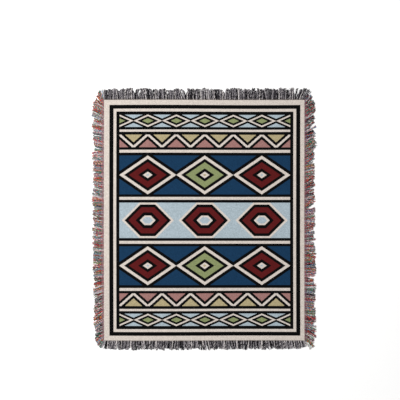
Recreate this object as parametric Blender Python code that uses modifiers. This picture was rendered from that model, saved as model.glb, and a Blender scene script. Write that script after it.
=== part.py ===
"""A woven cotton throw with a fringe on all four sides, laid out flat on a surface.

The cloth is one jacquard-woven sheet. Each of its edges carries a fringe: a narrow band where the
yarns leave the weave, and locks of loose yarn that lie on the surface and fan out at the corners.
Metres, +Z up, +Y towards the top edge. The origin is on the surface, under the middle of the whole
outline with its fringes.
"""

import math
import random

import bmesh
import bpy
from mathutils import Matrix, Vector

# The sheet
CLOTH_WIDTH = 1.270
CLOTH_LENGTH = 1.524
CLOTH_THICKNESS = 0.002
GRID_COLUMNS = 24
GRID_ROWS = 29

# Soft swells in the sheet where it doesn't lie dead flat. Heading is the angle of the long axis from +X.
SWELL_COLUMNS = ("x", "y", "heading", "half_length", "half_width", "height")
SWELLS = (
    (-0.330, 0.470, 14, 0.24, 0.12, 0.0034),
    (0.300, 0.330, -22, 0.27, 0.11, 0.0028),
    (-0.290, -0.060, 68, 0.30, 0.11, 0.0026),
    (0.350, -0.190, 100, 0.28, 0.11, 0.0032),
    (-0.150, -0.520, -9, 0.28, 0.12, 0.0030),
    (0.420, -0.600, 32, 0.18, 0.10, 0.0022),
)

# The fringe
BAND_WIDTH = 0.007
PIECE_GAP = 0.0003
LOCK_GAP_AT_ROOT = 0.0018
LOCK_STATIONS = (0.32, 0.68, 1.0)
LOCK_HALF_WIDTHS = (0.0080, 0.0070, 0.0044)
LOCK_THICKNESSES = (0.0034, 0.0030, 0.0016)
LOCK_TOP_SHARE = 0.72
LENGTH_SPREAD = 0.10
THICKNESS_SPREAD = 0.22
LEAN_SPREAD = math.radians(2.5)
MOST_CLOSING = math.radians(4.6)
LEAN_SHARE_AT_ROOT = 0.55
MEAN_LEAN_SHARE = 0.85
NARROWEST_SHARE = 0.5
# A leaning lock is longer, so that the fringe's outer edge stays nearly even, but by no more than this
LONGEST_SHARE = 1.22

# One row a side. Drift is how far the cloth's edge bows outwards, and waves counts its half waves.
SIDE_COLUMNS = ("name", "angle", "distance", "length", "locks", "reach", "drift", "waves", "seed")
SIDES = (
    ("fringe_top", 0, CLOTH_LENGTH / 2, CLOTH_WIDTH, 68, 0.072, 0.0012, 2, 11),
    ("fringe_left", 90, CLOTH_WIDTH / 2, CLOTH_LENGTH, 82, 0.069, 0.0015, 1, 12),
    ("fringe_bottom", 180, CLOTH_LENGTH / 2, CLOTH_WIDTH, 68, 0.059, -0.0010, 2, 13),
    ("fringe_right", 270, CLOTH_WIDTH / 2, CLOTH_LENGTH, 82, 0.069, -0.0012, 1, 14),
)

# How the locks lean along each side: (mm along the edge from its middle, degrees towards local +X)
LEANS = {
    "fringe_top": (
        (-635, -3), (-610, 3), (-597, 6), (-578, -4), (-568, 4), (-521, 0), (-483, -4), (-471, 6),
        (-449, -12), (-426, 8), (-369, 2), (-306, -6), (-262, -8), (-230, 6), (-186, 0), (-154, -16),
        (-129, -22), (-107, 8), (-59, 6), (-9, 2), (29, -10), (86, -10), (124, 0), (150, 6), (213, 4),
        (276, -4), (327, 6), (371, -12), (416, -6), (431, 8), (479, -2), (523, -8), (545, 6), (562, 0),
        (580, 20), (614, 21), (634, 20),
    ),
    "fringe_left": (
        (-762, -64), (-744, -52), (-708, -42), (-645, -38), (-582, -34), (-518, -30), (-455, -24),
        (-385, -18), (-303, -8), (-221, -2), (-164, -6), (-75, 0), (1, 8), (33, 3), (128, 8),
        (166, 20), (223, 10), (286, 5), (381, 0), (476, 4), (533, 10), (571, 18), (609, 26), (647, 28),
        (700, 35), (737, 49), (750, 62), (762, 78),
    ),
    "fringe_bottom": (
        (-634, -16), (-593, -8), (-542, -6), (-466, -14), (-409, -16), (-390, 0), (-340, -6),
        (-327, 2), (-283, 12), (-232, 4), (-175, -12), (-137, -4), (-61, -6), (-10, -20), (24, -8),
        (40, 6), (104, -2), (179, 6), (243, 12), (281, 16), (344, 4), (407, -4), (458, 0), (534, 2),
        (547, -2), (604, 4), (619, 14), (632, 32),
    ),
    "fringe_right": (
        (-762, -60), (-748, -52), (-710, -46), (-672, -45), (-634, -48), (-596, -54), (-564, -50),
        (-545, -30), (-476, -36), (-431, -42), (-393, -40), (-355, -34), (-343, -26), (-254, -28),
        (-197, -34), (-178, -14), (-128, -16), (-90, -26), (-71, -8), (-1, -4), (62, -6), (113, -10),
        (157, -6), (202, 0), (240, -4), (284, 0), (347, 6), (411, 4), (474, 4), (537, 8), (619, 10),
        (670, 20), (714, 32), (750, 46), (762, 56),
    ),
}
# How long the locks are along each side: (mm along the edge from its middle, share of the longest)
LENGTH_SHARES = {
    "fringe_top": ((-635, 0.94), (560, 0.97), (606, 1.00), (635, 0.97)),
    "fringe_left": ((-762, 0.90), (-480, 0.88), (-430, 0.94), (0, 1.00), (762, 1.00)),
    "fringe_bottom": ((-635, 1.00), (635, 1.00)),
    "fringe_right": (
        (-762, 0.88), (-640, 0.88), (-596, 0.82), (-560, 0.90), (100, 0.93), (200, 1.00), (560, 1.00),
        (640, 0.94), (762, 0.98),
    ),
}
# Places where the fringe is shorter: (side, mm along the edge, half width in mm, share of its length)
SHORT_PLACES = (
    ("fringe_top", -439, 14, 0.35),
    ("fringe_top", -119, 18, 0.35),
    ("fringe_top", 128, 30, 0.25),
    ("fringe_top", 586, 18, 0.40),
    ("fringe_bottom", -400, 18, 0.35),
    ("fringe_bottom", 30, 14, 0.40),
    ("fringe_left", 7, 14, 0.35),
    ("fringe_left", 157, 14, 0.35),
    ("fringe_left", 621, 14, 0.35),
    ("fringe_right", -561, 18, 0.40),
    ("fringe_right", -352, 14, 0.35),
    ("fringe_right", -188, 18, 0.45),
    ("fringe_right", -85, 14, 0.40),
    ("fringe_right", 252, 14, 0.40),
    ("fringe_right", 718, 14, 0.35),
)

# Linear colour, metallic, roughness
COTTON = {
    "woven_cotton": ((0.40, 0.37, 0.33), 0.0, 0.92),
    "yarn_black_and_natural": ((0.135, 0.130, 0.135), 0.0, 0.95),
    "yarn_mixed_colours": ((0.240, 0.165, 0.160), 0.0, 0.95),
}


def named_rows(columns, rows):
    """Each row of a table as a dictionary."""
    return [dict(zip(columns, row)) for row in rows]


SWELL_ROWS = named_rows(SWELL_COLUMNS, SWELLS)
SIDE_ROWS = {side["name"]: side for side in named_rows(SIDE_COLUMNS, SIDES)}

# The fringes don't all reach equally far, so the cloth's middle stands off the middle of the outline.
CLOTH_MIDDLE = Vector((
    (SIDE_ROWS["fringe_left"]["reach"] - SIDE_ROWS["fringe_right"]["reach"]) / 2,
    (SIDE_ROWS["fringe_bottom"]["reach"] - SIDE_ROWS["fringe_top"]["reach"]) / 2,
    0,
))


def clear_scene():
    for obj in list(bpy.data.objects):
        bpy.data.objects.remove(obj, do_unlink=True)


def cotton_material(name):
    colour, metallic, roughness = COTTON[name]
    material = bpy.data.materials.new(name)
    material.use_nodes = True
    shader = material.node_tree.nodes["Principled BSDF"]
    shader.inputs["Base Color"].default_value = (*colour, 1.0)
    shader.inputs["Metallic"].default_value = metallic
    shader.inputs["Roughness"].default_value = roughness
    return material


def soft_window(t):
    """1 at the middle of a swell, falling smoothly to exactly 0 at its rim."""
    return (1 - t * t) ** 2 if abs(t) < 1 else 0.0


def swell_height(x, y):
    """How far the sheet stands off the surface at a point."""
    height = 0.0
    for swell in SWELL_ROWS:
        heading = math.radians(swell["heading"])
        dx, dy = x - swell["x"], y - swell["y"]
        along = (dx * math.cos(heading) + dy * math.sin(heading)) / swell["half_length"]
        across = (dy * math.cos(heading) - dx * math.sin(heading)) / swell["half_width"]
        height += swell["height"] * soft_window(along) * soft_window(across)
    return height


def edge_drift(side, along):
    """How far the cloth's edge bows outwards at a place along it. It is 0 at both corners."""
    phase = math.pi * side["waves"] * (along / side["length"] + 0.5)
    return side["drift"] * math.sin(phase)


def panel_point(x, y):
    """The place of a grid point of the even rectangle on the real, slightly uneven sheet."""
    to_right = x / CLOTH_WIDTH + 0.5
    to_top = y / CLOTH_LENGTH + 0.5
    right = edge_drift(SIDE_ROWS["fringe_right"], -y)
    left = edge_drift(SIDE_ROWS["fringe_left"], y)
    top = edge_drift(SIDE_ROWS["fringe_top"], x)
    bottom = edge_drift(SIDE_ROWS["fringe_bottom"], -x)
    return Vector((
        x + right * to_right - left * (1 - to_right),
        y + top * to_top - bottom * (1 - to_top),
        swell_height(x, y),
    ))


def build_panel(collection, material):
    """The woven sheet: a grid that is laid over its swells and given the cloth's thickness."""
    bpy.ops.mesh.primitive_grid_add(x_subdivisions=GRID_COLUMNS, y_subdivisions=GRID_ROWS, size=1)
    obj = bpy.context.object
    obj.name = obj.data.name = "woven_panel"
    for vertex in obj.data.vertices:
        vertex.co = panel_point(vertex.co.x * CLOTH_WIDTH, vertex.co.y * CLOTH_LENGTH)
    obj.data.materials.append(material)
    for owner in list(obj.users_collection):
        owner.objects.unlink(obj)
    collection.objects.link(obj)
    obj.location = CLOTH_MIDDLE
    solidify = obj.modifiers.new("cloth_thickness", "SOLIDIFY")
    solidify.thickness = CLOTH_THICKNESS
    solidify.offset = 1.0


def read_table(rows, place):
    """The second column of a table at a place in its first, straight between the rows."""
    if place <= rows[0][0]:
        return rows[0][1]
    for (start, value), (end, next_value) in zip(rows, rows[1:]):
        if place <= end:
            return value + (next_value - value) * (place - start) / (end - start)
    return rows[-1][1]


def lock_leans(side, draw):
    """The lean of each lock, positive towards local +X, never so that it runs into the one before."""
    leans = []
    for index in range(side["locks"]):
        along = ((index + 0.5) / side["locks"] - 0.5) * side["length"]
        lean = math.radians(read_table(LEANS[side["name"]], along * 1000))
        lean += draw.uniform(-LEAN_SPREAD, LEAN_SPREAD)
        if leans:
            lean = max(lean, leans[-1] - MOST_CLOSING * math.cos(lean))
        leans.append(lean)
    return leans


def length_share(side, along):
    """How much of the longest length a lock has where it stands."""
    share = read_table(LENGTH_SHARES[side["name"]], along * 1000)
    for name, middle, half_width, shorter in SHORT_PLACES:
        if name == side["name"]:
            share -= shorter * soft_window((along * 1000 - middle) / half_width)
    return share


def lock_sections(root, side, lean, draw):
    """The sections of a lock from its root outwards, each as (middle, across, half width, thickness)."""
    length = (side["reach"] - BAND_WIDTH - PIECE_GAP) * draw.uniform(1 - LENGTH_SPREAD, 1)
    length *= length_share(side, root.x) * min(LONGEST_SHARE, 1 / math.cos(lean * MEAN_LEAN_SHARE))
    fullness = draw.uniform(1 - THICKNESS_SPREAD, 1 + THICKNESS_SPREAD)
    middle, reached, sections = Vector(root), 0.0, []
    for station, half_width, thickness in zip(LOCK_STATIONS, LOCK_HALF_WIDTHS, LOCK_THICKNESSES):
        heading = lean * (LEAN_SHARE_AT_ROOT + (1 - LEAN_SHARE_AT_ROOT) * station)
        outwards = Vector((math.sin(heading), math.cos(heading)))
        middle = middle + outwards * length * (station - reached)
        across = Vector((outwards.y, -outwards.x))
        narrowed = half_width * max(NARROWEST_SHARE, math.cos(heading))
        sections.append((middle.copy(), across, narrowed, thickness * fullness))
        reached = station
    return sections


def place_section(face, section):
    """Moves the four corners of an extruded end onto a lock's next section, flat on the surface."""
    middle, across, half_width, thickness = section
    centre = face.calc_center_median()
    for vertex in face.verts:
        hand = 1 if vertex.co.x > centre.x else -1
        upper = vertex.co.z > centre.z
        half = half_width * (LOCK_TOP_SHARE if upper else 1.0)
        spot = middle + across * hand * half
        vertex.co = Vector((spot.x, spot.y, thickness if upper else 0.0))


def root_faces(bm, side, outer):
    """Cuts the band's outer face into the roots of the locks, and gives them in order."""
    pitch = side["length"] / side["locks"]
    margin = LOCK_GAP_AT_ROOT / 2
    for index in range(side["locks"]):
        start = index * pitch - side["length"] / 2
        for cut in (start + margin, start + pitch - margin):
            bmesh.ops.bisect_plane(
                bm,
                geom=bm.verts[:] + bm.edges[:] + bm.faces[:],
                plane_co=(cut, 0, 0),
                plane_no=(1, 0, 0),
            )
    roots = [
        face for face in bm.faces
        if face.normal.y > 0.9 and face.calc_center_median().y > outer - PIECE_GAP
        and max(v.co.x for v in face.verts) - min(v.co.x for v in face.verts) > pitch / 2
    ]
    return sorted(roots, key=lambda face: face.calc_center_median().x)


def trim_to_reach(bm, band, outer, reach):
    """Stretches the locks a little, so that the longest of them ends at the fringe's reach."""
    loose = [vertex for vertex in bm.verts if vertex not in band]
    furthest = max(vertex.co.y for vertex in loose)
    stretch = (reach - outer) / (furthest - outer)
    for vertex in loose:
        vertex.co.y = outer + (vertex.co.y - outer) * stretch


def build_fringe(side, collection, material):
    """The band at one edge with its locks drawn out of it. Local +X runs along the edge, +Y outwards."""
    draw = random.Random(side["seed"])
    half_length = side["length"] / 2
    outer = PIECE_GAP + BAND_WIDTH
    bm = bmesh.new()
    size = (side["length"], BAND_WIDTH, CLOTH_THICKNESS)
    middle = (0, PIECE_GAP + BAND_WIDTH / 2, CLOTH_THICKNESS / 2)
    bmesh.ops.create_cube(bm, size=1, matrix=Matrix.Translation(middle) @ Matrix.Diagonal((*size, 1)))
    roots = root_faces(bm, side, outer)
    band = set(bm.verts)
    for face, lean in zip(roots, lock_leans(side, draw)):
        root = face.calc_center_median().xy
        for section in lock_sections(root, side, lean, draw):
            face = bmesh.ops.extrude_discrete_faces(bm, faces=[face])["faces"][0]
            place_section(face, section)
    for vertex in bm.verts:
        vertex.co.y += edge_drift(side, max(-half_length, min(half_length, vertex.co.x)))
    trim_to_reach(bm, band, outer, side["reach"])
    bmesh.ops.recalc_face_normals(bm, faces=bm.faces[:])
    mesh = bpy.data.meshes.new(side["name"])
    bm.to_mesh(mesh)
    bm.free()
    mesh.materials.append(material)
    obj = bpy.data.objects.new(side["name"], mesh)
    collection.objects.link(obj)
    angle = math.radians(side["angle"])
    obj.rotation_euler.z = angle
    obj.location = CLOTH_MIDDLE + Vector((-math.sin(angle), math.cos(angle), 0)) * side["distance"]


def main():
    clear_scene()
    collection = bpy.data.collections.new("cotton_throw")
    bpy.context.scene.collection.children.link(collection)
    materials = {name: cotton_material(name) for name in COTTON}
    build_panel(collection, materials["woven_cotton"])
    for side in SIDE_ROWS.values():
        sideways = side["angle"] % 180 == 90
        yarn = "yarn_mixed_colours" if sideways else "yarn_black_and_natural"
        build_fringe(side, collection, materials[yarn])


main()
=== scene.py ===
"""Looks of a woven cotton throw with loose yarn fringes, laid out flat and seen from straight above.

The cloth is a fine closed sheet on the swells of its solid, with a generic banded design that its
material works out from the place on the flat cloth. Each fringe is made of single loose yarns.
"""

import math
import random

import bpy
import numpy as np
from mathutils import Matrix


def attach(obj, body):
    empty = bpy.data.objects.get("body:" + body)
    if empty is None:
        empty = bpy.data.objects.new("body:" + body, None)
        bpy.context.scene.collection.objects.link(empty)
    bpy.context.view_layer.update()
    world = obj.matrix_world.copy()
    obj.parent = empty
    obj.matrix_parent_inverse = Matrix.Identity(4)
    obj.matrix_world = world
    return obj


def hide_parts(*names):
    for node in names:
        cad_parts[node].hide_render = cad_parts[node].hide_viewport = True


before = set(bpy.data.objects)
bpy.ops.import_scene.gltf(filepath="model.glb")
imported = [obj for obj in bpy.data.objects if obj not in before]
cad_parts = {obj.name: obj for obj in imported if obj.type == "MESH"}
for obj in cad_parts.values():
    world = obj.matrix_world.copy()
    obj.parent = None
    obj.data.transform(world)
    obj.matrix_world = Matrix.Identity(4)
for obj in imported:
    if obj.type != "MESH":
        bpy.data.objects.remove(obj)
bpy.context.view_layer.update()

# The sheet and its swells, the same values as the solid's, in metres and degrees
CLOTH_WIDTH = 1.270
CLOTH_LENGTH = 1.524
CLOTH_THICKNESS = 0.002
SWELL_COLUMNS = ("x", "y", "heading", "half_length", "half_width", "height")
SWELLS = (
    (-0.330, 0.470, 14, 0.24, 0.12, 0.0034),
    (0.300, 0.330, -22, 0.27, 0.11, 0.0028),
    (-0.290, -0.060, 68, 0.30, 0.11, 0.0026),
    (0.350, -0.190, 100, 0.28, 0.11, 0.0032),
    (-0.150, -0.520, -9, 0.28, 0.12, 0.0030),
    (0.420, -0.600, 32, 0.18, 0.10, 0.0022),
)

# One row a side: which way it faces, in degrees, how far from the cloth's middle it lies, the length of its
# edge, and how far its longest yarns reach. Drift is how far the edge bows outwards, in so many half waves.
# Straight is how far the yarns run straight out before they lean and curl, unruly is how much they stray
# from their shared lean, like is how often a yarn is of its lock's kind, lock is a lock's mean width, and
# seed starts the side's random draws.
SIDE_COLUMNS = (
    "name", "angle", "distance", "length", "reach", "drift", "waves", "straight", "unruly", "like", "lock",
    "seed",
)
SIDES = (
    ("fringe_top", 0, CLOTH_LENGTH / 2, CLOTH_WIDTH, 0.072, 0.0012, 2, 0.006, 1.0, 0.94, 0.0076, 288),
    ("fringe_left", 90, CLOTH_WIDTH / 2, CLOTH_LENGTH, 0.069, 0.0015, 1, 0.012, 1.1, 0.88, 0.0046, 225),
    ("fringe_bottom", 180, CLOTH_LENGTH / 2, CLOTH_WIDTH, 0.059, -0.0010, 2, 0.006, 1.0, 0.94, 0.0076, 582),
    ("fringe_right", 270, CLOTH_WIDTH / 2, CLOTH_LENGTH, 0.069, -0.0012, 1, 0.012, 1.1, 0.88, 0.0046, 589),
)

# How the yarns lean along each side, much as the solid's locks do. Local +X runs along the edge, and local
# +Y outwards: (mm along the edge from its middle, degrees towards local +X)
LEANS = {
    "fringe_top": (
        (-635, -4), (-610, 3), (-597, 6), (-578, -4), (-568, 4), (-521, 0), (-483, -4), (-471, 6),
        (-449, -12), (-426, 8), (-369, 2), (-306, -6), (-262, -8), (-230, 6), (-186, 0), (-154, -16),
        (-129, -22), (-107, 8), (-59, 6), (-9, 2), (29, -10), (86, -10), (124, 0), (150, 6), (213, 4),
        (276, -4), (327, 6), (371, -12), (416, -6), (431, 8), (479, -2), (523, -8), (545, 6), (562, 0),
        (580, 20), (608, 23), (634, 32),
    ),
    "fringe_left": (
        (-762, -60), (-744, -47), (-708, -40), (-645, -38), (-582, -34), (-518, -30), (-455, -24),
        (-385, -18), (-303, -8), (-221, -2), (-164, -6), (-75, 0), (1, 8), (33, 3), (128, 8),
        (166, 20), (223, 10), (286, 5), (381, 0), (476, 4), (533, 10), (571, 18), (609, 26), (647, 28),
        (700, 35), (724, 44), (736, 68), (762, 78),
    ),
    "fringe_bottom": (
        (-634, -26), (-608, -12), (-542, -6), (-466, -14), (-409, -16), (-390, 0), (-340, -6),
        (-327, 2), (-283, 12), (-232, 4), (-175, -12), (-137, -4), (-61, -6), (-10, -20), (24, -8),
        (40, 6), (104, -2), (179, 6), (243, 12), (281, 16), (344, 4), (407, -4), (458, 0), (534, 2),
        (547, -2), (604, 4), (619, 14), (632, 32),
    ),
    "fringe_right": (
        (-762, -65), (-748, -51), (-710, -46), (-672, -45), (-634, -48), (-596, -54), (-564, -50),
        (-545, -30), (-476, -36), (-431, -42), (-393, -40), (-355, -34), (-343, -26), (-254, -28),
        (-197, -34), (-178, -14), (-128, -16), (-90, -26), (-71, -8), (-1, -4), (62, -6), (113, -10),
        (157, -6), (202, 0), (240, -4), (284, 0), (347, 6), (411, 4), (474, 4), (537, 8), (619, 10),
        (670, 20), (714, 32), (748, 43), (762, 60),
    ),
}
# Where the yarns part and the floor shows: (mm along the edge, half width in mm, depth as a share of the
# yarns' length)
PARTINGS = {
    "fringe_top": (
        (-573, 8, 0.70), (-439, 10, 0.50), (-119, 15, 0.40), (128, 24, 0.25), (425, 7, 0.35),
        (544, 6, 0.25), (571, 12, 0.55),
    ),
    "fringe_left": (
        (-597, 6, 0.50), (-534, 7, 0.50), (-480, 8, 0.60), (-395, 8, 0.55), (-167, 7, 0.50),
        (-21, 8, 0.30), (7, 10, 0.50), (157, 10, 0.50), (340, 6, 0.25), (422, 6, 0.30),
        (573, 6, 0.40), (621, 10, 0.45), (651, 8, 0.35),
    ),
    "fringe_bottom": (
        (-520, 7, 0.35), (-400, 11, 0.32), (-333, 8, 0.45), (-235, 6, 0.30), (30, 10, 0.60),
        (189, 5, 0.50), (414, 8, 0.35), (539, 5, 0.60), (582, 6, 0.30), (624, 10, 0.60),
    ),
    "fringe_right": (
        (-561, 13, 0.55), (-352, 10, 0.50), (-229, 7, 0.40), (-188, 13, 0.65), (-85, 10, 0.55),
        (78, 6, 0.30), (141, 10, 0.35), (252, 10, 0.55), (357, 7, 0.40), (626, 8, 0.50),
        (718, 10, 0.55),
    ),
}

# Where a fringe reaches less or more far than its row says: (mm along the edge, share of the reach)
REACH_SHARES = {
    "fringe_top": ((-635, 0.99), (560, 1.02), (606, 1.10), (635, 1.02)),
    "fringe_left": (
        (-762, 0.99), (-700, 0.93), (-480, 0.90), (-430, 0.97), (0, 1.04), (635, 1.04), (700, 1.02),
        (762, 1.15),
    ),
    "fringe_bottom": ((-635, 0.84), (-615, 0.97), (635, 0.98)),
    "fringe_right": (
        (-762, 0.76), (-750, 0.92), (-700, 0.89), (-596, 0.86), (-560, 0.94), (100, 0.97), (200, 1.05),
        (560, 1.04), (640, 0.98), (740, 1.08), (754, 1.12), (762, 1.06),
    ),
}


def named_rows(columns, rows):
    """Each row of a table as a dictionary."""
    return [dict(zip(columns, row)) for row in rows]


SWELL_ROWS = named_rows(SWELL_COLUMNS, SWELLS)
SIDE_ROWS = {side["name"]: side for side in named_rows(SIDE_COLUMNS, SIDES)}
CLOTH_MIDDLE_Y = (SIDE_ROWS["fringe_bottom"]["reach"] - SIDE_ROWS["fringe_top"]["reach"]) / 2


def linear(colour):
    """A screen colour of 0 to 255 as the linear colour that a shader takes."""
    shares = [value / 255 for value in colour]
    return tuple(s / 12.92 if s <= 0.04045 else ((s + 0.055) / 1.055) ** 2.4 for s in shares)


# The cloth's colours, as they look in even light, 0 to 255
CLOTH_COLOURS = {
    "cream": (195, 186, 178),
    "black": (5, 5, 6),
    "navy": (20, 50, 78),
    "sky": (154, 168, 176),
    "maroon": (83, 22, 23),
    "green": (124, 133, 92),
    "pink": (146, 107, 103),
    "tan": (161, 149, 115),
}
# What the back of the cloth shows where the face shows a colour, as a jacquard weave swaps its yarns
BACK_OF = {
    "cream": "black",
    "black": "cream",
    "navy": "tan",
    "sky": "maroon",
    "maroon": "sky",
    "green": "pink",
    "pink": "green",
    "tan": "navy",
}
# The design is worked out as the number of a colour, in even steps from 0 up
COLOUR_NUMBERS = {name: number for number, name in enumerate(CLOTH_COLOURS)}
NUMBER_STEP = 1 / 16


class Number:
    """A number that the nodes of a material work out. Arithmetic with it adds nodes."""

    def __init__(self, tree, socket):
        self.tree = tree
        self.socket = socket

    def math(self, operation, *others, clamp=False):
        """The result of a math node on this number and others."""
        node = self.tree.nodes.new("ShaderNodeMath")
        node.operation = operation
        node.use_clamp = clamp
        for place, value in enumerate((self, *others)):
            if isinstance(value, Number):
                self.tree.links.new(value.socket, node.inputs[place])
            else:
                node.inputs[place].default_value = value
        return Number(self.tree, node.outputs[0])

    def __add__(self, other):
        return self.math("ADD", other)

    def __sub__(self, other):
        return self.math("SUBTRACT", other)

    def __mul__(self, other):
        return self.math("MULTIPLY", other)

    def __truediv__(self, other):
        return self.math("DIVIDE", other)

    def __abs__(self):
        return self.math("ABSOLUTE")

    def sine(self):
        """The sine of the number, in radians."""
        return self.math("SINE")

    def wrapped(self, period):
        """The rest after whole periods, from 0 to the period."""
        return self.math("FLOORED_MODULO", period)

    def stepped(self, step):
        """The middle of the step that the number is in, as a weave draws a slope in whole threads."""
        return ((self / step).math("FLOOR") + 0.5) * step

    def above(self, limit):
        """1 where the number is above the limit, otherwise 0."""
        return self.math("GREATER_THAN", limit)

    def clamped(self):
        """The number kept within 0 and 1."""
        return self.math("ADD", 0.0, clamp=True)

    def where(self, mask, other):
        """The other number where the mask is 1, this one where it is 0."""
        return self + (other - self) * mask


def ramp(number, stops, low, high):
    """A colour for each stretch of a number. Stops are (start, colour), and low and high are its range."""
    tree = number.tree
    node = tree.nodes.new("ShaderNodeValToRGB")
    node.color_ramp.interpolation = "CONSTANT"
    elements = node.color_ramp.elements
    while len(elements) > 1:
        elements.remove(elements[0])
    for order, (start, colour) in enumerate(stops):
        place = min(1.0, max(0.0, (start - low) / (high - low)))
        element = elements[0] if order == 0 else elements.new(place)
        element.position = place
        element.color = (*colour, 1.0)
    share = (number - low) / (high - low)
    tree.links.new(share.socket, node.inputs["Fac"])
    return node.outputs["Color"]


# The design, in millimetres from the middle of the cloth. It is the same left and right, top and bottom,
# and its slopes are drawn in whole steps of the weave.
MM_A_METRE = 1000
THREAD_STEP = 2.0
HALF_WIDTH = CLOTH_WIDTH / 2 * MM_A_METRE
HALF_LENGTH = CLOTH_LENGTH / 2 * MM_A_METRE
FIELD_HALF_WIDTH = 541.0
SMALL_REPEAT = FIELD_HALF_WIDTH / 3
LARGE_REPEAT = FIELD_HALF_WIDTH * 2 / 3
HEXAGON_HALF_WIDTH = 165.0
# Rows from the middle outwards: where each one ends, and what fills it
ROW_ENDS = {
    "hexagons": 112,
    "inner_lines": 164,
    "large_lozenges": 410,
    "middle_lines": 462,
    "saw_teeth": 542,
    "outer_lines": 590,
    "small_lozenges": 669,
}
# Where each colour starts, in mm into the shape that the table is for. Less than 0 is outside it. The
# first and the last colour go on beyond the furthest place, outside and inside.
FURTHEST = 200
HEXAGON_BANDS = (
    (-FURTHEST, "sky"), (0, "cream"), (11, "black"), (29, "maroon"), (62, "black"), (80, "cream"),
    (91, "sky"),
)
SIDE_LOZENGE_BANDS = (
    (-FURTHEST, "navy"), (-20, "black"), (-1, "cream"), (16, "black"), (34, "maroon"), (66, "black"),
    (83, "cream"), (95, "sky"),
)
MIDDLE_LOZENGE_BANDS = (
    (-FURTHEST, "navy"), (-20, "black"), (-1, "cream"), (16, "black"), (34, "green"), (66, "black"),
    (83, "cream"), (95, "tan"),
)
SMALL_LOZENGE_BANDS = ((-FURTHEST, "sky"), (-14, "black"), (0, "cream"), (9, "black"), (21, "green"))
SAW_TOOTH_BANDS = ((-99, "pink"), (-22, "black"), (-7, "cream"), (7, "black"), (22, "tan"))
LINE_BANDS = ((-1, "black"), (17, "cream"), (35, "black"))
NARROW_LINE_BANDS = ((-1, "black"), (16, "cream"), (32, "black"))
EDGE_BANDS = ((-9, "cream"), (31, "black"), (55, "cream"), (74, "black"))
# The design sits a little off the middle of the cloth
DESIGN_SHIFT_X = 4.0
DESIGN_SHIFT_Y = -1.0


def colour_number(distance, bands):
    """The number of the colour at a distance into a shape."""
    stops = [(start, (COLOUR_NUMBERS[name] * NUMBER_STEP,) * 3) for start, name in bands]
    colour = ramp(distance, stops, -FURTHEST, FURTHEST)
    split = distance.tree.nodes.new("ShaderNodeSeparateColor")
    distance.tree.links.new(colour, split.inputs[0])
    return Number(distance.tree, split.outputs[0])


def into_lozenge(across, along, half_width, half_height):
    """How far a place lies inside the edge of a lozenge, from its distances to the lozenge's middle."""
    slope_share = half_width * half_height / math.hypot(half_width, half_height)
    return (across / half_width + along / half_height) * -slope_share + slope_share


def from_nearest_middle(across, repeat):
    """How far a place is from the middle of the repeat that it is in, with one repeat in the middle."""
    return abs((across + repeat / 2).wrapped(repeat) - repeat / 2)


def into_lozenge_row(across, along, start, end, repeat):
    """How far a place lies inside its lozenge, in a row of lozenges that touch."""
    from_line = abs(along - (start + end) / 2)
    return into_lozenge(from_nearest_middle(across, repeat), from_line, repeat / 2, (end - start) / 2)


def hexagon_row(across, along, end):
    """Long hexagons: lozenges whose tops and bottoms are cut off straight."""
    from_middle = from_nearest_middle(across, LARGE_REPEAT)
    inside = into_lozenge(from_middle, along, HEXAGON_HALF_WIDTH, HEXAGON_HALF_WIDTH)
    return colour_number(inside.math("MINIMUM", along * -1 + end), HEXAGON_BANDS)


def large_lozenge_row(across, along, start, end):
    """Large lozenges, the one in the middle in colours of its own."""
    inside = into_lozenge_row(across, along, start, end, LARGE_REPEAT)
    beside = across.above(LARGE_REPEAT / 2)
    middle_one = colour_number(inside, MIDDLE_LOZENGE_BANDS)
    return middle_one.where(beside, colour_number(inside, SIDE_LOZENGE_BANDS))


def saw_tooth_row(across, along, start, end):
    """Saw teeth that point to the middle of the cloth, by the distance from their slopes."""
    height, half_tooth = end - start, SMALL_REPEAT / 2
    tooth = abs(across.wrapped(SMALL_REPEAT) - half_tooth) / half_tooth
    slope_share = height * half_tooth / math.hypot(height, half_tooth)
    return colour_number(((along - start) / height - tooth) * slope_share, SAW_TOOTH_BANDS)


def design_number(x, y):
    """The number of the woven colour at a place, in mm from the cloth's middle."""
    across = abs((x - DESIGN_SHIFT_X).stepped(THREAD_STEP))
    along = abs((y - DESIGN_SHIFT_Y).stepped(THREAD_STEP))
    ends = ROW_ENDS
    number = hexagon_row(across, along, ends["hexagons"])
    small_lozenges = into_lozenge_row(
        across, along, ends["outer_lines"], ends["small_lozenges"], SMALL_REPEAT
    )
    rows = (
        ("hexagons", colour_number(along - ends["hexagons"], LINE_BANDS)),
        ("inner_lines", large_lozenge_row(across, along, ends["inner_lines"], ends["large_lozenges"])),
        ("large_lozenges", colour_number(along - ends["large_lozenges"], LINE_BANDS)),
        ("middle_lines", saw_tooth_row(across, along, ends["middle_lines"], ends["saw_teeth"])),
        ("saw_teeth", colour_number(along - ends["saw_teeth"], NARROW_LINE_BANDS)),
        ("outer_lines", colour_number(small_lozenges, SMALL_LOZENGE_BANDS)),
    )
    for row_before, row in rows:
        number = number.where(along.above(ends[row_before]), row)

    from_side = across * -1 + HALF_WIDTH
    from_end = along * -1 + HALF_LENGTH
    from_edge = from_side.math("MINIMUM", from_end)
    in_field = from_edge.above(HALF_WIDTH - FIELD_HALF_WIDTH)
    return colour_number(from_edge, EDGE_BANDS).where(in_field, number)


# Cotton hardly shines
COTTON_SPECULAR = 0.07


def new_material(name):
    """A material with its nodes and its shader, as dull as cotton."""
    material = bpy.data.materials.new(name)
    material.use_nodes = True
    tree = material.node_tree
    shader = tree.nodes["Principled BSDF"]
    shader.inputs["Specular IOR Level"].default_value = COTTON_SPECULAR
    return material, tree, shader


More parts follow.
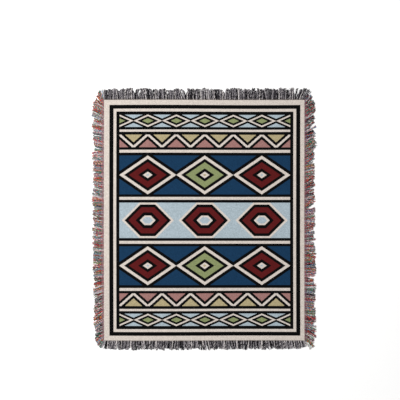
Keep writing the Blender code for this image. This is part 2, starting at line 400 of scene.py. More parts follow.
def attribute(tree, name):
    """The node that reads a named attribute of the mesh."""
    node = tree.nodes.new("ShaderNodeAttribute")
    node.attribute_name = name
    return node


def noise(tree, vector, scale=1.0, detail=2.0):
    """A soft noise of 0 to 1 over a place."""
    node = tree.nodes.new("ShaderNodeTexNoise")
    node.inputs["Scale"].default_value = scale
    node.inputs["Detail"].default_value = detail
    tree.links.new(vector, node.inputs["Vector"])
    return Number(tree, node.outputs["Fac"])


def cell_noise(first, second):
    """A number of 0 to 1 of its own for each whole pair of two numbers."""
    tree = first.tree
    pair = tree.nodes.new("ShaderNodeCombineXYZ")
    tree.links.new(first.math("FLOOR").socket, pair.inputs[0])
    tree.links.new(second.math("FLOOR").socket, pair.inputs[1])
    node = tree.nodes.new("ShaderNodeTexWhiteNoise")
    node.noise_dimensions = "2D"
    tree.links.new(pair.outputs[0], node.inputs["Vector"])
    return Number(tree, node.outputs["Value"])


def stretched(tree, vector, stretch):
    """A place with its axes stretched, so that a noise over it runs along one of them."""
    node = tree.nodes.new("ShaderNodeVectorMath")
    node.operation = "MULTIPLY"
    node.inputs[1].default_value = stretch
    tree.links.new(vector, node.inputs[0])
    return node.outputs[0]


def times(tree, colour, number):
    """A colour made lighter or darker by a number."""
    node = tree.nodes.new("ShaderNodeVectorMath")
    node.operation = "SCALE"
    tree.links.new(colour, node.inputs[0])
    tree.links.new(number.socket, node.inputs["Scale"])
    return node.outputs[0]


def mixed(tree, factor, first, second):
    """The first colour where the factor is 0, the second where it is 1. Each is a socket or a colour."""
    node = tree.nodes.new("ShaderNodeMix")
    node.data_type = "RGBA"
    tree.links.new(factor.socket, node.inputs[0])
    # The node has its sockets for colours after those for numbers and vectors
    for place, colour in ((6, first), (7, second)):
        if isinstance(colour, tuple):
            node.inputs[place].default_value = (*colour, 1.0)
        else:
            tree.links.new(colour, node.inputs[place])
    return node.outputs[2]


def add_bump(tree, shader, height, distance, strength):
    """Bumps on a shader, where a height of 1 stands for this distance in metres."""
    node = tree.nodes.new("ShaderNodeBump")
    node.inputs["Strength"].default_value = strength
    node.inputs["Distance"].default_value = distance
    tree.links.new(height.socket, node.inputs["Height"])
    tree.links.new(node.outputs["Normal"], shader.inputs["Normal"])


# The weave: the pitch of its threads across and along, in mm, and how much light is lost between its floats
THREAD_PITCH_X = 2.6
THREAD_PITCH_Y = 1.9
WEAVE_SHADE = 0.24
# Each float is a bead: how much of it goes by the place across and along, and about how high it is on average
BEAD_ACROSS = 0.6
BEAD_ALONG = 0.4
MEAN_BEAD = 0.62
# How much each kind of unevenness shows in the cloth's tone
TONE_SHARES = {"grain": 0.16, "slubs": 0.14, "mottle": 0.20, "wear": 0.05, "float": 0.44, "group": 0.14}
# How fine they are. Grain and slubs run across the cloth, and a group is so many floats wide and high.
GRAIN_STRETCH = (420, 900, 0)
SLUB_STRETCH = (28, 330, 0)
MOTTLE_SCALE = 120.0
WEAR_SCALE = 7.0
GROUP_COLUMNS = 2
GROUP_ROWS = 3
# How much the grain and the slubs stand out beside the beads, and how high and how dull the weave is
GRAIN_RELIEF = 0.8
SLUB_RELIEF = 0.5
WEAVE_BUMP_DISTANCE = 0.0005
WEAVE_BUMP_STRENGTH = 0.55
CLOTH_ROUGHNESS = 0.93


def colour_stops(names):
    """The stops of a ramp from the numbers of the design to colours: one name for each number."""
    return [
        (number * NUMBER_STEP - NUMBER_STEP / 2, linear(CLOTH_COLOURS[name]))
        for number, name in enumerate(names)
    ]


def cloth_material():
    """Jacquard-woven cotton: the design in colour, each float of yarn a small bead with its own tone."""
    material, tree, shader = new_material("woven_cotton")
    place = attribute(tree, "flat").outputs["Vector"]
    split = tree.nodes.new("ShaderNodeSeparateXYZ")
    tree.links.new(place, split.inputs[0])
    x = Number(tree, split.outputs[0]) * MM_A_METRE
    y = Number(tree, split.outputs[1]) * MM_A_METRE
    face_up = Number(tree, split.outputs[2]).above(0.5)

    number = design_number(x, y)
    faces = colour_stops(CLOTH_COLOURS)
    backs = colour_stops(BACK_OF[name] for name in CLOTH_COLOURS)
    colour = mixed(tree, face_up, ramp(number, backs, 0, 1), ramp(number, faces, 0, 1))

    # Each row of floats starts half a float further on
    row = y / THREAD_PITCH_Y
    column = x / THREAD_PITCH_X + row.math("FLOOR") * 0.5
    bead = abs((column * math.pi).sine()) * BEAD_ACROSS + abs((row * math.pi).sine()) * BEAD_ALONG
    uneven = {
        "grain": noise(tree, stretched(tree, place, GRAIN_STRETCH), detail=1.0),
        "slubs": noise(tree, stretched(tree, place, SLUB_STRETCH)),
        "mottle": noise(tree, place, MOTTLE_SCALE, detail=1.0),
        "wear": noise(tree, place, WEAR_SCALE, detail=3.0),
        "float": cell_noise(column, row),
        "group": cell_noise(column / GROUP_COLUMNS, row / GROUP_ROWS),
    }
    tone = bead * WEAVE_SHADE
    for kind, share in TONE_SHARES.items():
        tone = tone + uneven[kind] * share
    # The mean tone is 1, so that the colours look as their table says
    tone = tone + (1.0 - WEAVE_SHADE * MEAN_BEAD - sum(TONE_SHARES.values()) / 2)
    tree.links.new(times(tree, colour, tone), shader.inputs["Base Color"])
    shader.inputs["Roughness"].default_value = CLOTH_ROUGHNESS
    relief = bead + uneven["grain"] * GRAIN_RELIEF + uneven["slubs"] * SLUB_RELIEF
    add_bump(tree, shader, relief, WEAVE_BUMP_DISTANCE, WEAVE_BUMP_STRENGTH)
    return material


def soft_window(t):
    """1 at the middle, falling smoothly to exactly 0 at 1 on either side."""
    return np.where(np.abs(t) < 1, (1 - t * t) ** 2, 0.0)


def swell_height(x, y):
    """How far the sheet stands off the surface, on the solid's swells."""
    height = np.zeros_like(x)
    for swell in SWELL_ROWS:
        heading = math.radians(swell["heading"])
        dx, dy = x - swell["x"], y - swell["y"]
        along = (dx * math.cos(heading) + dy * math.sin(heading)) / swell["half_length"]
        across = (dy * math.cos(heading) - dx * math.sin(heading)) / swell["half_width"]
        height += swell["height"] * soft_window(along) * soft_window(across)
    return height


def edge_drift(side, along):
    """How far the cloth's edge bows outwards at a place along it."""
    return side["drift"] * np.sin(math.pi * side["waves"] * (along / side["length"] + 0.5))


# Fine unevenness that the plain solid leaves out: (waves a metre in x, in y, turn, height in metres)
RIPPLES = (
    (9.1, 3.7, 0.4, 0.00022),
    (-5.3, 11.9, 1.9, 0.00020),
    (17.3, -8.3, 3.1, 0.00013),
    (6.1, 23.7, 5.2, 0.00011),
    (31.0, 4.1, 2.2, 0.00008),
)
# The rounded rim: how wide it is, how far it falls, and where an extra line of the grid lies in it
EDGE_ROLL_WIDTH = 0.004
EDGE_ROLL_DEPTH = 0.0006
RIM_SHARE = 0.3
GRID_STEP = 0.0085
# The picture for baking: how much of it the face takes, where the back starts, and how much that takes
BAKE_FACE_WIDTH = 0.78
BAKE_BACK_START = 0.79
BAKE_BACK_WIDTH = 0.20


def grid_line(length):
    """Grid places along one axis of the cloth, with two close to each edge for its rounded rim."""
    inner = length / 2 - EDGE_ROLL_WIDTH
    count = int(round(2 * inner / GRID_STEP))
    middle = np.linspace(-inner, inner, count + 1)
    rim = length / 2 - EDGE_ROLL_WIDTH * RIM_SHARE
    return np.concatenate([[-length / 2, -rim], middle, [rim, length / 2]])


def build_cloth(material):
    """The sheet as a closed mesh: a face and a back over one grid, sewn together round the rim."""
    flat_x, flat_y = np.meshgrid(grid_line(CLOTH_WIDTH), grid_line(CLOTH_LENGTH))
    rows, columns = flat_x.shape
    to_right = flat_x / CLOTH_WIDTH + 0.5
    to_top = flat_y / CLOTH_LENGTH + 0.5
    right = edge_drift(SIDE_ROWS["fringe_right"], -flat_y)
    left = edge_drift(SIDE_ROWS["fringe_left"], flat_y)
    top = edge_drift(SIDE_ROWS["fringe_top"], flat_x)
    bottom = edge_drift(SIDE_ROWS["fringe_bottom"], -flat_x)
    x = flat_x + right * to_right - left * (1 - to_right)
    y = flat_y + top * to_top - bottom * (1 - to_top) + CLOTH_MIDDLE_Y

    ripple = np.zeros_like(x)
    for wave_x, wave_y, turn, height in RIPPLES:
        ripple += height * np.sin(2 * math.pi * (wave_x * flat_x + wave_y * flat_y) + turn)
    under = swell_height(flat_x, flat_y) + np.maximum(ripple, 0.0)
    from_edge = np.minimum(CLOTH_WIDTH / 2 - np.abs(flat_x), CLOTH_LENGTH / 2 - np.abs(flat_y))
    roll = EDGE_ROLL_DEPTH * np.clip(1 - from_edge / EDGE_ROLL_WIDTH, 0, 1) ** 2
    over = under + CLOTH_THICKNESS - roll

    count = rows * columns
    face = np.stack([x, y, over], axis=-1).reshape(-1, 3)
    back = np.stack([x, y, under], axis=-1).reshape(-1, 3)
    index = np.arange(count).reshape(rows, columns)
    quads = np.stack([index[:-1, :-1], index[:-1, 1:], index[1:, 1:], index[1:, :-1]], axis=-1)
    quads = quads.reshape(-1, 4)
    rim = np.concatenate([index[0, :-1], index[:-1, -1], index[-1, :0:-1], index[:0:-1, 0]])
    following = np.roll(rim, -1)
    wall = np.stack([rim + count, following + count, following, rim], axis=-1)
    faces = np.concatenate([quads, quads[:, ::-1] + count, wall])

    mesh = bpy.data.meshes.new("woven_cloth")
    mesh.from_pydata(np.concatenate([face, back]).tolist(), [], faces.tolist())
    mesh.polygons.foreach_set("use_smooth", [True] * len(faces))
    flat = np.zeros((2 * count, 3), np.float32)
    flat[:, 0] = np.tile(flat_x.reshape(-1), 2)
    flat[:, 1] = np.tile(flat_y.reshape(-1), 2)
    flat[:count, 2] = 1.0
    mesh.attributes.new("flat", "FLOAT_VECTOR", "POINT").data.foreach_set("vector", flat.reshape(-1))
    corners = np.zeros(len(mesh.loops), np.int32)
    mesh.loops.foreach_get("vertex_index", corners)
    spread = np.zeros((len(corners), 2), np.float32)
    spread[:, 0] = flat[corners, 1] / CLOTH_LENGTH + 0.5
    across = flat[corners, 0] / CLOTH_WIDTH + 0.5
    on_back = np.repeat(np.arange(len(faces)) >= len(quads), 4)
    back_spread = BAKE_BACK_START + BAKE_BACK_WIDTH * across
    spread[:, 1] = np.where(on_back, back_spread, BAKE_FACE_WIDTH * across)
    mesh.uv_layers.new(name="OFBake").data.foreach_set("uv", spread.reshape(-1))
    mesh.materials.append(material)
    cloth = bpy.data.objects.new("woven_cloth", mesh)
    bpy.context.scene.collection.objects.link(cloth)
    return cloth


# Yarns of the fringes, each of two plies in two colours: its group, and how often it comes at each side
YARN_COLUMNS = ("first", "second", "group", "top", "bottom", "left", "right")
YARNS = (
    ((21, 20, 23), (30, 28, 32), "dark", 24, 28, 3, 6),
    ((34, 32, 36), (68, 65, 70), "dark", 22, 22, 8, 11),
    ((52, 49, 54), (112, 108, 112), "dark", 19, 14, 10, 12),
    ((96, 92, 98), (160, 155, 158), "light", 14, 14, 9, 8),
    ((138, 134, 140), (192, 186, 188), "light", 13, 14, 8, 7),
    ((226, 220, 217), (184, 178, 181), "light", 9, 11, 6, 5),
    ((226, 84, 66), (88, 74, 76), "warm", 0, 0, 18, 14),
    ((172, 46, 54), (62, 50, 58), "warm", 0, 0, 8, 9),
    ((222, 140, 74), (116, 70, 88), "warm", 0, 0, 5, 4),
    ((170, 84, 118), (224, 208, 196), "warm", 0, 0, 14, 10),
    ((44, 140, 112), (96, 56, 62), "cool", 0, 0, 19, 16),
    ((66, 100, 154), (160, 166, 152), "cool", 0, 0, 13, 11),
    ((132, 152, 92), (92, 44, 74), "cool", 0, 0, 8, 9),
)
# The dark and cool yarns take turns with the others
DEEP_GROUPS = ("dark", "cool")
# How common the dark yarns are along each side: (mm along the edge, times as many)
DARKNESS = {
    "fringe_top": ((-635, 0.85), (0, 1.0), (250, 1.2), (400, 2.0), (635, 2.4)),
    "fringe_left": ((-762, 2.0), (-280, 1.8), (-150, 0.5), (400, 0.5), (762, 0.9)),
    "fringe_bottom": (
        (-635, 1.0), (-540, 0.6), (-400, 1.4), (100, 1.0), (240, 1.5), (320, 1.1), (635, 0.8),
    ),
    "fringe_right": ((-762, 2.6), (-620, 2.2), (-480, 1.2), (400, 0.9), (762, 1.1)),
}
YARN_NUMBER_STEP = 1 / len(YARNS)
# How far apart the yarns of a full layer leave the edge, how unevenly, how thick they are, and their sides
YARN_PITCH = 0.0031
ROOT_UNEVEN = 0.35
YARN_RADIUS = 0.0016
RADIUS_SHARES = (0.8, 1.2)
YARN_SIDES = 5
# How many bands of fibres lie round a yarn, how far apart they are along it, and one turn of its plies
FIBRE_BANDS = 2
TWIST_LENGTH = 0.005
PLY_LENGTH = 0.018
# A yarn's tone: the shade between its fibres, its unevenness, which is partly its own fuzz and partly
# painted shade, and the part that is even
FIBRE_SHADE = 0.20
FUZZ_AND_PAINTED_SHADE = 0.50
EVEN_TONE = 0.57
UNEVEN_SCALE = 160.0
UNEVEN_RELIEF = 0.6
YARN_BUMP_DISTANCE = 0.0006
YARN_BUMP_STRENGTH = 0.6
YARN_ROUGHNESS = 0.95
# How far the plies turn from one layer to the next, and from yarn to yarn, in turns
PLY_TURN_A_LEVEL = 0.3
PLY_UNEVEN = 0.08
# Places along a yarn where it has a ring of points, and how thick it is there, as shares
STATIONS = np.array((0, 0.03, 0.09, 0.17, 0.26, 0.35, 0.44, 0.53, 0.62, 0.71, 0.80, 0.88, 0.95, 1.0))
TAPER = np.interp(STATIONS, (0, 0.08, 0.90, 1.0), (0.6, 1.0, 1.0, 0.75))
# Layers of yarns over each other: how many for each pitch, height in radii, the widths of its tufts in
# metres, and how much a tuft's lean, bend and waves differ, in degrees and metres
LAYER_COLUMNS = ("share", "level", "narrow", "wide", "lean_spread", "bend_spread", "wave")
LAYERS = (
    (1.00, 1.0, 0.006, 0.012, 3, 6, 0.0006),
    (1.00, 2.0, 0.004, 0.009, 5, 10, 0.0010),
    (0.50, 2.8, 0.003, 0.006, 9, 16, 0.0014),
)
# Where a wave may start, in radians
TURNS = (0, 6.28)
# How tufts differ: shares of their layer's waves and of the dip, lengths of a wave and of a dip in metres,
# how far they close towards their tips, and how long they are, as shares
TUFT_WAVES = (0.4, 1.0)
TUFT_WAVE_LENGTHS = (0.024, 0.046)
TUFT_DIPS = (0.3, 1.0)
TUFT_DIP_LENGTHS = (0.026, 0.060)
TUFT_CLOSING = (0.05, 0.5)
TUFT_LENGTHS = (0.96, 1.02)
# The yarns hang together in bunches, which lean their own way, in degrees, and close towards their tips
BUNCH_WIDTHS = (0.009, 0.024)
BUNCH_LEAN_SPREAD = 5
BUNCH_CLOSING = (0.15, 0.55)
BUNCH_LENGTHS = (0.84, 1.07)
# A lock is a narrow stretch of the edge whose yarns are alike. Locks of the two groups take turns this often.
TURN_SHARE = 0.9
LOCK_UNEVEN = (0.7, 1.3)
# How single yarns differ: their lean in degrees, their length as a share, and how high they lie in metres
YARN_LEAN_SPREAD = 3.0
YARN_LENGTHS = (0.96, 1.04)
YARN_LIFT = 0.0004
# How far a tuft dips under its neighbours and comes up again, at most, in yarn radii
DIP = 0.9
# Each yarn winds round its own way in a loose coil, of this radius at most
COIL = 0.0022
COIL_SHARES = (0.3, 1.0)
COIL_LENGTHS = (0.018, 0.036)
# How far inside the cloth the yarns start, and how close to the surface they come
ROOT_INSIDE_CLOTH = 0.001
LOWEST_POINT = 0.0002
# This close to a corner the yarns stray less together and more one by one, and they are shorter
CORNER_SPAN = 0.075
CORNER_CALM = 0.6
CORNER_SHORTER = 0.08
CORNER_LOOSER = 1.3
# The share of its lean that a yarn has at its root, the same at a corner, and what it starts with of that
LEAN_SHARE_AT_ROOT = 0.55
CORNER_LEAN_SHARE_AT_ROOT = 0.92
STRAIGHT_LEAN_SHARE = 0.3
# A yarn that leans is longer, so that the fringe still reaches as far, but only up to these limits
STEEPEST_LEAN = 60
MEAN_LEAN_SHARE = 0.85
LONGEST_SHARE = 1.22
# Where along a yarn its bend is nothing, how much its tip curls, in degrees, and how much it droops
BEND_MIDDLE = 0.3
TIP_CURL = 32
CURL_START = 0.8
DROOP = 0.8
DROOP_START = 0.6
# A parting is this much wider than its table says. Its yarns stray less, and they are pushed aside, by so
# many degrees at most.
PARTING_SHARE = 1.1
PARTING_CALM = 0.8
MOST_PUSH = 16
# Where each kind of yarn lies in the picture for baking: the width of its column and the space at the ends
BAKE_COLUMN_WIDTH = 0.8
BAKE_MARGIN = 0.02
# What the yarns look like where they leave the weave: (colour, colour at the right side, how much of it,
# how far out as a share of the yarn). The mixed yarns' colour at the right side is darker as painted shade,
# as the same yarns run through to both sides.
ROOT_LOOKS = {
    "yarn_black_and_natural": ((106, 96, 88), (106, 96, 88), 0.40, 0.14),
    "yarn_mixed_colours": ((158, 122, 128), (118, 82, 92), 0.62, 0.28),
}


def yarn_material(name):
    """Loose cotton yarn: the colour of its number, with the slant of its twist and a little unevenness,
    partly painted shade, and roots that are darker at the right side as painted shade.
    """
    material, tree, shader = new_material(name)
    split = tree.nodes.new("ShaderNodeSeparateColor")
    tree.links.new(attribute(tree, "yarn").outputs["Color"], split.inputs[0])
    number = Number(tree, split.outputs[0])
    along = Number(tree, split.outputs[1])
    firsts = [(k * YARN_NUMBER_STEP, linear(row[0])) for k, row in enumerate(YARNS)]
    seconds = [(k * YARN_NUMBER_STEP, linear(row[1])) for k, row in enumerate(YARNS)]
    left_root, painted_shade_right_root, root_share, root_reach = ROOT_LOOKS[name]
    # The roots at the right side are darker: painted shade
    root_colour = mixed(tree, Number(tree, split.outputs[2]), linear(left_root), linear(painted_shade_right_root))
    # Full over the first half of its reach, then fading out
    rooted = (along * (-2 / root_reach) + 2.0).clamped() * root_share

    turn = tree.nodes.new("ShaderNodeUVMap")
    turn.uv_map = "twist"
    turns = tree.nodes.new("ShaderNodeSeparateXYZ")
    tree.links.new(turn.outputs["UV"], turns.inputs[0])
    around, far = Number(tree, turns.outputs[0]), Number(tree, turns.outputs[1])
    fibres = abs(((around * FIBRE_BANDS + far / TWIST_LENGTH) * math.pi).sine())
    on_second = (around + far / PLY_LENGTH).wrapped(1.0).above(0.5)
    plied = mixed(tree, on_second, ramp(number, firsts, 0, 1), ramp(number, seconds, 0, 1))
    colour = mixed(tree, rooted, plied, root_colour)
    place = tree.nodes.new("ShaderNodeTexCoord").outputs["Object"]
    # Unevenness along the yarns: partly their own fuzz, partly painted shade between and along the strands
    uneven = noise(tree, place, UNEVEN_SCALE)
    tone = fibres * FIBRE_SHADE + uneven * FUZZ_AND_PAINTED_SHADE + EVEN_TONE
    tree.links.new(times(tree, colour, tone), shader.inputs["Base Color"])
    shader.inputs["Roughness"].default_value = YARN_ROUGHNESS
    relief = fibres + uneven * UNEVEN_RELIEF
    add_bump(tree, shader, relief, YARN_BUMP_DISTANCE, YARN_BUMP_STRENGTH)
    return material


def read_table(rows, place):
    """The second column of a table at a place in its first, straight between the rows."""
    return float(np.interp(place, [row[0] for row in rows], [row[1] for row in rows]))


def stretches(side, narrow, wide, draw):
    """The edge cut into stretches of uneven width, each with its end and its middle."""
    found, start = [], -side["length"] / 2
    while start < side["length"] / 2:
        end = start + draw.uniform(narrow, wide)
        found.append({"end": end, "middle": (start + end) / 2})
        start = end
    return found


def at_place(found, place):
    """The stretch that a place of the edge is in."""
    return next((stretch for stretch in found if stretch["end"] >= place), found[-1])


def bunches(side, draw):
    """The bunches along an edge. All the layers share them."""
    found = stretches(side, *BUNCH_WIDTHS, draw)
    for bunch in found:
        bunch["lean"] = draw.gauss(0, BUNCH_LEAN_SPREAD) * side["unruly"]
        bunch["closing"] = draw.uniform(*BUNCH_CLOSING)
        bunch["length"] = draw.uniform(*BUNCH_LENGTHS)
    return found


def locks(side, shares, draw):
    """The locks along an edge, each with the number of its yarn. All the layers share them."""
    groups = [row[YARN_COLUMNS.index("group")] for row in YARNS]
    found, start, deep = [], -side["length"] / 2, True
    last = {True: None, False: None}
    while start < side["length"] / 2:
        if draw.random() < TURN_SHARE:
            deep = not deep
        darkness = read_table(DARKNESS[side["name"]], start * MM_A_METRE)
        here = [share * (darkness if group == "dark" else 1) for share, group in zip(shares, groups)]
        weights = [share if (group in DEEP_GROUPS) == deep else 0 for share, group in zip(here, groups)]
        start += side["lock"] * draw.uniform(*LOCK_UNEVEN) * 2 * sum(weights) / sum(here)
        weights = [0 if number == last[deep] else share for number, share in enumerate(weights)]
        last[deep] = draw.choices(range(len(YARNS)), weights=weights)[0]
        found.append({"end": start, "number": last[deep], "turn": draw.random()})
    return found


def tufts(side, layer, draw):
    """The yarns of a layer lie together in tufts, which all lean, bend and wave in their own way."""
    found = stretches(side, layer["narrow"], layer["wide"], draw)
    for tuft in found:
        tuft.update({
            "lean": draw.gauss(0, layer["lean_spread"]) * side["unruly"],
            "bend": draw.gauss(0, layer["bend_spread"]) * side["unruly"],
            "wave": draw.uniform(*TUFT_WAVES) * layer["wave"],
            "wave_length": draw.uniform(*TUFT_WAVE_LENGTHS),
            "turn": draw.uniform(*TURNS),
            "curl": draw.gauss(0, TIP_CURL),
            "dip": draw.uniform(*TUFT_DIPS) * DIP,
            "dip_length": draw.uniform(*TUFT_DIP_LENGTHS),
            "dip_turn": draw.uniform(*TURNS),
            "closing": draw.uniform(*TUFT_CLOSING),
            "length": draw.uniform(*TUFT_LENGTHS),
        })
    return found


def parting(side, along):
    """What a parting in the fringe does to a yarn: (degrees it is pushed, where from, length kept, calm)."""
    for middle, half_width, depth in PARTINGS[side["name"]]:
        offset = along * MM_A_METRE - middle
        short = half_width * PARTING_SHARE - abs(offset)
        if short > 0:
            needed = math.degrees(math.atan(short / (depth * side["reach"] * MM_A_METRE)))
            push = min(MOST_PUSH, needed)
            kept = 1 - depth * (1 - push / needed) * float(soft_window(offset / (half_width * PARTING_SHARE)))
            return math.copysign(push, offset), 1 - depth, kept, 1.0
    return 0.0, 1.0, 1.0, 0.0


def yarn_line(side, root, layer, bunch, tuft, radius, draw):
    """The middle line of one yarn, from just inside the cloth's edge outwards, lying on the surface."""
    near_corner = max(0.0, 1 - (side["length"] / 2 - abs(root)) / CORNER_SPAN)
    push, push_from, kept, calm = parting(side, root)
    stray = 1 - max(CORNER_CALM * near_corner, PARTING_CALM * calm)
    at_root = LEAN_SHARE_AT_ROOT + (CORNER_LEAN_SHARE_AT_ROOT - LEAN_SHARE_AT_ROOT) * near_corner
    shared = read_table(LEANS[side["name"]], root * MM_A_METRE)
    own_lean = draw.gauss(0, YARN_LEAN_SPREAD) * (1 + CORNER_LOOSER * near_corner)
    lean = shared + tuft["lean"] * stray + own_lean
    bend = tuft["bend"] * stray
    curl = (tuft["curl"] + draw.gauss(0, TIP_CURL / 2)) * side["unruly"] * stray
    mean_lean = math.radians(min(STEEPEST_LEAN, abs(shared)) * MEAN_LEAN_SHARE)
    stretch = min(LONGEST_SHARE, 1 / math.cos(mean_lean))
    stretch += (1 - stretch - CORNER_SHORTER) * near_corner
    length = side["reach"] * read_table(REACH_SHARES[side["name"]], root * MM_A_METRE) * stretch
    length *= bunch["length"] * tuft["length"] * kept * draw.uniform(*YARN_LENGTHS)
    level = YARN_RADIUS * layer["level"] + draw.uniform(0, YARN_LIFT)
    coil = draw.uniform(*COIL_SHARES) * COIL
    coil_length, coil_turn = draw.uniform(*COIL_LENGTHS), draw.uniform(*TURNS)
    closing_angle = math.degrees(math.atan2((root - tuft["middle"]) * tuft["closing"], length))
    bunch_angle = math.degrees(math.atan2((root - bunch["middle"]) * bunch["closing"], length))
    # It grows from nothing at the root, so twice as much at the tip gives the same on average
    gathering = (bunch["lean"] - bunch_angle) * (2 * (1 - near_corner))
    sideways = math.radians(shared)
    x, y = root, -ROOT_INSIDE_CLOTH
    points, before = [], 0.0
    for share in STATIONS:
        gone = share * length
        eased = min(1.0, gone / side["straight"])
        heading = lean * (at_root + (1 - at_root) * share)
        heading *= STRAIGHT_LEAN_SHARE + (1 - STRAIGHT_LEAN_SHARE) * eased
        heading += (bend * (share - BEND_MIDDLE) - closing_angle) * eased + gathering * share
        heading += curl * max(0.0, share - CURL_START) / (1 - CURL_START)
        if share > push_from:
            heading += push
        step = (share - before) * length
        x += math.sin(math.radians(heading)) * step
        y += math.cos(math.radians(heading)) * step
        swing = tuft["wave"] * math.sin(2 * math.pi * gone / tuft["wave_length"] + tuft["turn"])
        wound = 2 * math.pi * gone / coil_length + coil_turn
        swing = (swing + coil * math.sin(wound)) * eased
        dip = tuft["dip"] * math.sin(2 * math.pi * gone / tuft["dip_length"] + tuft["dip_turn"])
        high = max(radius, level + dip * YARN_RADIUS + coil * math.cos(wound))
        droop = (high - radius) * DROOP * max(0.0, share - DROOP_START) / (1 - DROOP_START)
        rise = CLOTH_THICKNESS / 2 * (1 - eased) + (high - droop) * eased
        points.append((x + swing * math.cos(sideways), y - swing * math.sin(sideways), rise))
        before = share
    return np.array(points)


def tube(line, radii, turn):
    """The rings of a round yarn along its middle line, as places. The turn is where its plies start."""
    ahead = np.gradient(line, axis=0)
    ahead /= np.linalg.norm(ahead, axis=1)[:, None]
    sideways = np.stack([ahead[:, 1], -ahead[:, 0], np.zeros(len(line))], axis=1)
    sideways /= np.linalg.norm(sideways, axis=1)[:, None]
    upwards = np.cross(sideways, ahead)
    angles = (np.arange(YARN_SIDES) / YARN_SIDES + turn) * 2 * math.pi
    rings = (
        line[:, None]
        + sideways[:, None] * (np.cos(angles)[None, :, None] * radii[:, None, None])
        + upwards[:, None] * (np.sin(angles)[None, :, None] * radii[:, None, None])
    )
    return rings.reshape(-1, 3)


def tube_faces():
    """The faces of one yarn: its walls as quads, and a flat end at the root and the tip."""
    walls = []
    for station in range(len(STATIONS) - 1):
        for place in range(YARN_SIDES):
            a = station * YARN_SIDES + place
            b = station * YARN_SIDES + (place + 1) % YARN_SIDES
            walls.append((a, b, b + YARN_SIDES, a + YARN_SIDES))
    root_end = tuple(reversed(range(YARN_SIDES)))
    last = (len(STATIONS) - 1) * YARN_SIDES
    tip_end = tuple(range(last, last + YARN_SIDES))
    return [*walls, root_end, tip_end]


def corners_around():
    """How far round the yarn each face corner of one yarn is, from 0 to 1, in the order of its faces."""
    walls = [(place, place + 1, place + 1, place) for place in range(YARN_SIDES)] * (len(STATIONS) - 1)
    root_end = tuple(reversed(range(YARN_SIDES)))
    return np.concatenate([*walls, root_end, tuple(range(YARN_SIDES))]) / YARN_SIDES


def lay_yarns(side, draw):
    """The rings of all the yarns at one edge, and the number of each yarn."""
    shares = [row[YARN_COLUMNS.index(side["name"].split("_")[1])] for row in YARNS]
    side_bunches = bunches(side, draw)
    side_locks = locks(side, shares, draw)
    rings, numbers = [], []
    for layer in named_rows(LAYER_COLUMNS, LAYERS):
        pitch = YARN_PITCH / layer["share"]
        layer_tufts = tufts(side, layer, draw)
        for order in range(int(side["length"] / pitch)):
            root = (order + 0.5 + draw.uniform(-ROOT_UNEVEN, ROOT_UNEVEN)) * pitch - side["length"] / 2
            radius = YARN_RADIUS * draw.uniform(*RADIUS_SHARES)
            bunch, lock, tuft = (at_place(found, root) for found in (side_bunches, side_locks, layer_tufts))
            line = yarn_line(side, root, layer, bunch, tuft, radius, draw)
            turn = lock["turn"] + layer["level"] * PLY_TURN_A_LEVEL
            turn += draw.uniform(-PLY_UNEVEN, PLY_UNEVEN)
            rings.append(tube(line, TAPER * radius, turn))
            other = draw.choices(range(len(YARNS)), weights=shares)[0]
            numbers.append(lock["number"] if draw.random() < side["like"] else other)
    return rings, numbers


def build_yarns(side, material):
    """All the loose yarns at one edge as one mesh."""
    rings, numbers = lay_yarns(side, random.Random(side["seed"]))
    places = np.concatenate(rings)
    places[:, 1] += edge_drift(side, np.clip(places[:, 0], -side["length"] / 2, side["length"] / 2))
    places[:, 2] = np.maximum(places[:, 2], LOWEST_POINT)
    points_a_yarn = len(STATIONS) * YARN_SIDES
    faces = [
        tuple(yarn * points_a_yarn + corner for corner in face)
        for yarn in range(len(rings))
        for face in tube_faces()
    ]
    mesh = bpy.data.meshes.new(side["name"])
    mesh.from_pydata(places.tolist(), [], faces)
    mesh.polygons.foreach_set("use_smooth", [len(face) == 4 for face in faces])

    along = np.tile(np.repeat(STATIONS, YARN_SIDES), len(rings))
    colours = np.repeat((np.array(numbers) + 0.5) * YARN_NUMBER_STEP, points_a_yarn)
    # The third channel marks the right side, whose roots are darker as painted shade
    painted_shade_at_right = np.full_like(along, side["name"] == "fringe_right")
    data = np.stack([colours, along, painted_shade_at_right, np.ones_like(along)], axis=1)
    mesh.attributes.new("yarn", "FLOAT_COLOR", "POINT").data.foreach_set(
        "color", data.astype(np.float32).reshape(-1)
    )
    corners = np.zeros(len(mesh.loops), np.int32)
    mesh.loops.foreach_get("vertex_index", corners)
    around = np.tile(corners_around(), len(rings))
    twist = np.stack([around, along[corners] * side["reach"]], axis=1)
    mesh.uv_layers.new(name="twist").data.foreach_set("uv", twist.astype(np.float32).reshape(-1))
    column = colours[corners] + (BAKE_COLUMN_WIDTH * around - BAKE_COLUMN_WIDTH / 2) * YARN_NUMBER_STEP
    bake = np.stack([column, BAKE_MARGIN + (1 - 2 * BAKE_MARGIN) * along[corners]], axis=1)
    mesh.uv_layers.new(name="OFBake").data.foreach_set("uv", bake.astype(np.float32).reshape(-1))

    mesh.materials.append(material)
    obj = bpy.data.objects.new(side["name"] + "_yarns", mesh)
    bpy.context.scene.collection.objects.link(obj)
    angle = math.radians(side["angle"])
    obj.rotation_euler.z = angle
    obj.location = (
        -math.sin(angle) * side["distance"],
        math.cos(angle) * side["distance"] + CLOTH_MIDDLE_Y,
        0,
    )
    return obj


# The floor lies a little under the throw
FLOOR_SIZE = 12
FLOOR_HEIGHT = -0.0002
FLOOR_COLOUR = (0.95, 0.95, 0.95, 1)
FLOOR_ROUGHNESS = 0.9


def build_floor():
    """The plain pale floor that the throw lies on."""
    bpy.ops.mesh.primitive_plane_add(size=FLOOR_SIZE, location=(0, 0, FLOOR_HEIGHT))
    floor = bpy.context.object
    floor.name = "floor"
    material, _, shader = new_material("pale_floor")
    shader.inputs["Base Color"].default_value = FLOOR_COLOUR
    shader.inputs["Roughness"].default_value = FLOOR_ROUGHNESS
    floor.data.materials.append(material)
    return floor


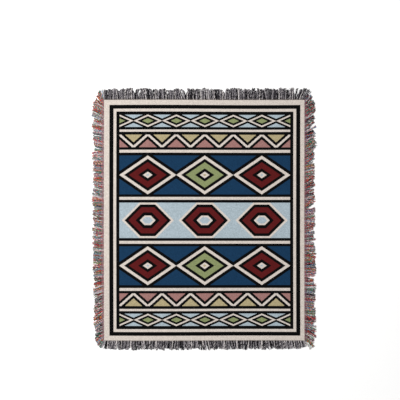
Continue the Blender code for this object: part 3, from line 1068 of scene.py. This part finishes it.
# The photograph's view: straight down, a long lens, and the throw a little off the picture's middle
VIEW_WIDTH = 2.532
CAMERA_X = -0.0272
CAMERA_Y = 0.1211
CAMERA_HEIGHT = 6.0
SENSOR_WIDTH = 36.0


def set_camera():
    """The camera over the throw, looking straight down."""
    camera = bpy.data.cameras.new("camera")
    camera.sensor_width = SENSOR_WIDTH
    camera.lens = SENSOR_WIDTH * CAMERA_HEIGHT / VIEW_WIDTH
    obj = bpy.data.objects.new("camera", camera)
    obj.location = (CAMERA_X, CAMERA_Y, CAMERA_HEIGHT)
    bpy.context.scene.collection.objects.link(obj)
    bpy.context.scene.camera = obj


# The light: the same from all round, and a soft square lamp at the upper left, a little warm
AROUND_STRENGTH = 0.80
LAMP_PLACE = (-2.9, 1.2, 3.2)
LAMP_SIZE = 2.2
LAMP_POWER = 140
LAMP_COLOUR = (1.0, 0.985, 0.965)


def add_lamp():
    """The lamp, turned to the middle of the throw."""
    light = bpy.data.lights.new("key", "AREA")
    light.shape = "SQUARE"
    light.size = LAMP_SIZE
    light.energy = LAMP_POWER
    light.color = LAMP_COLOUR
    obj = bpy.data.objects.new("key", light)
    obj.location = LAMP_PLACE
    direction = -obj.location
    obj.rotation_euler = direction.to_track_quat("-Z", "Y").to_euler()
    bpy.context.scene.collection.objects.link(obj)


def set_light():
    """Soft even studio light, a little stronger from the upper left."""
    world = bpy.data.worlds.new("studio")
    world.use_nodes = True
    background = world.node_tree.nodes["Background"]
    background.inputs["Color"].default_value = (1.0, 1.0, 1.0, 1)
    background.inputs["Strength"].default_value = AROUND_STRENGTH
    bpy.context.scene.world = world
    add_lamp()
    bpy.context.scene.view_settings.view_transform = "Standard"


cloth = build_cloth(cloth_material())
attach(cloth, "root")
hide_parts("woven_panel")

dark_yarn = yarn_material("yarn_black_and_natural")
mixed_yarn = yarn_material("yarn_mixed_colours")
for side in SIDE_ROWS.values():
    # The left and right fringes are the ones of mixed colours
    sideways = side["angle"] % 180 == 90
    fringe = build_yarns(side, mixed_yarn if sideways else dark_yarn)
    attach(fringe, "root")
    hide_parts(side["name"])

build_floor()
set_camera()
set_light()
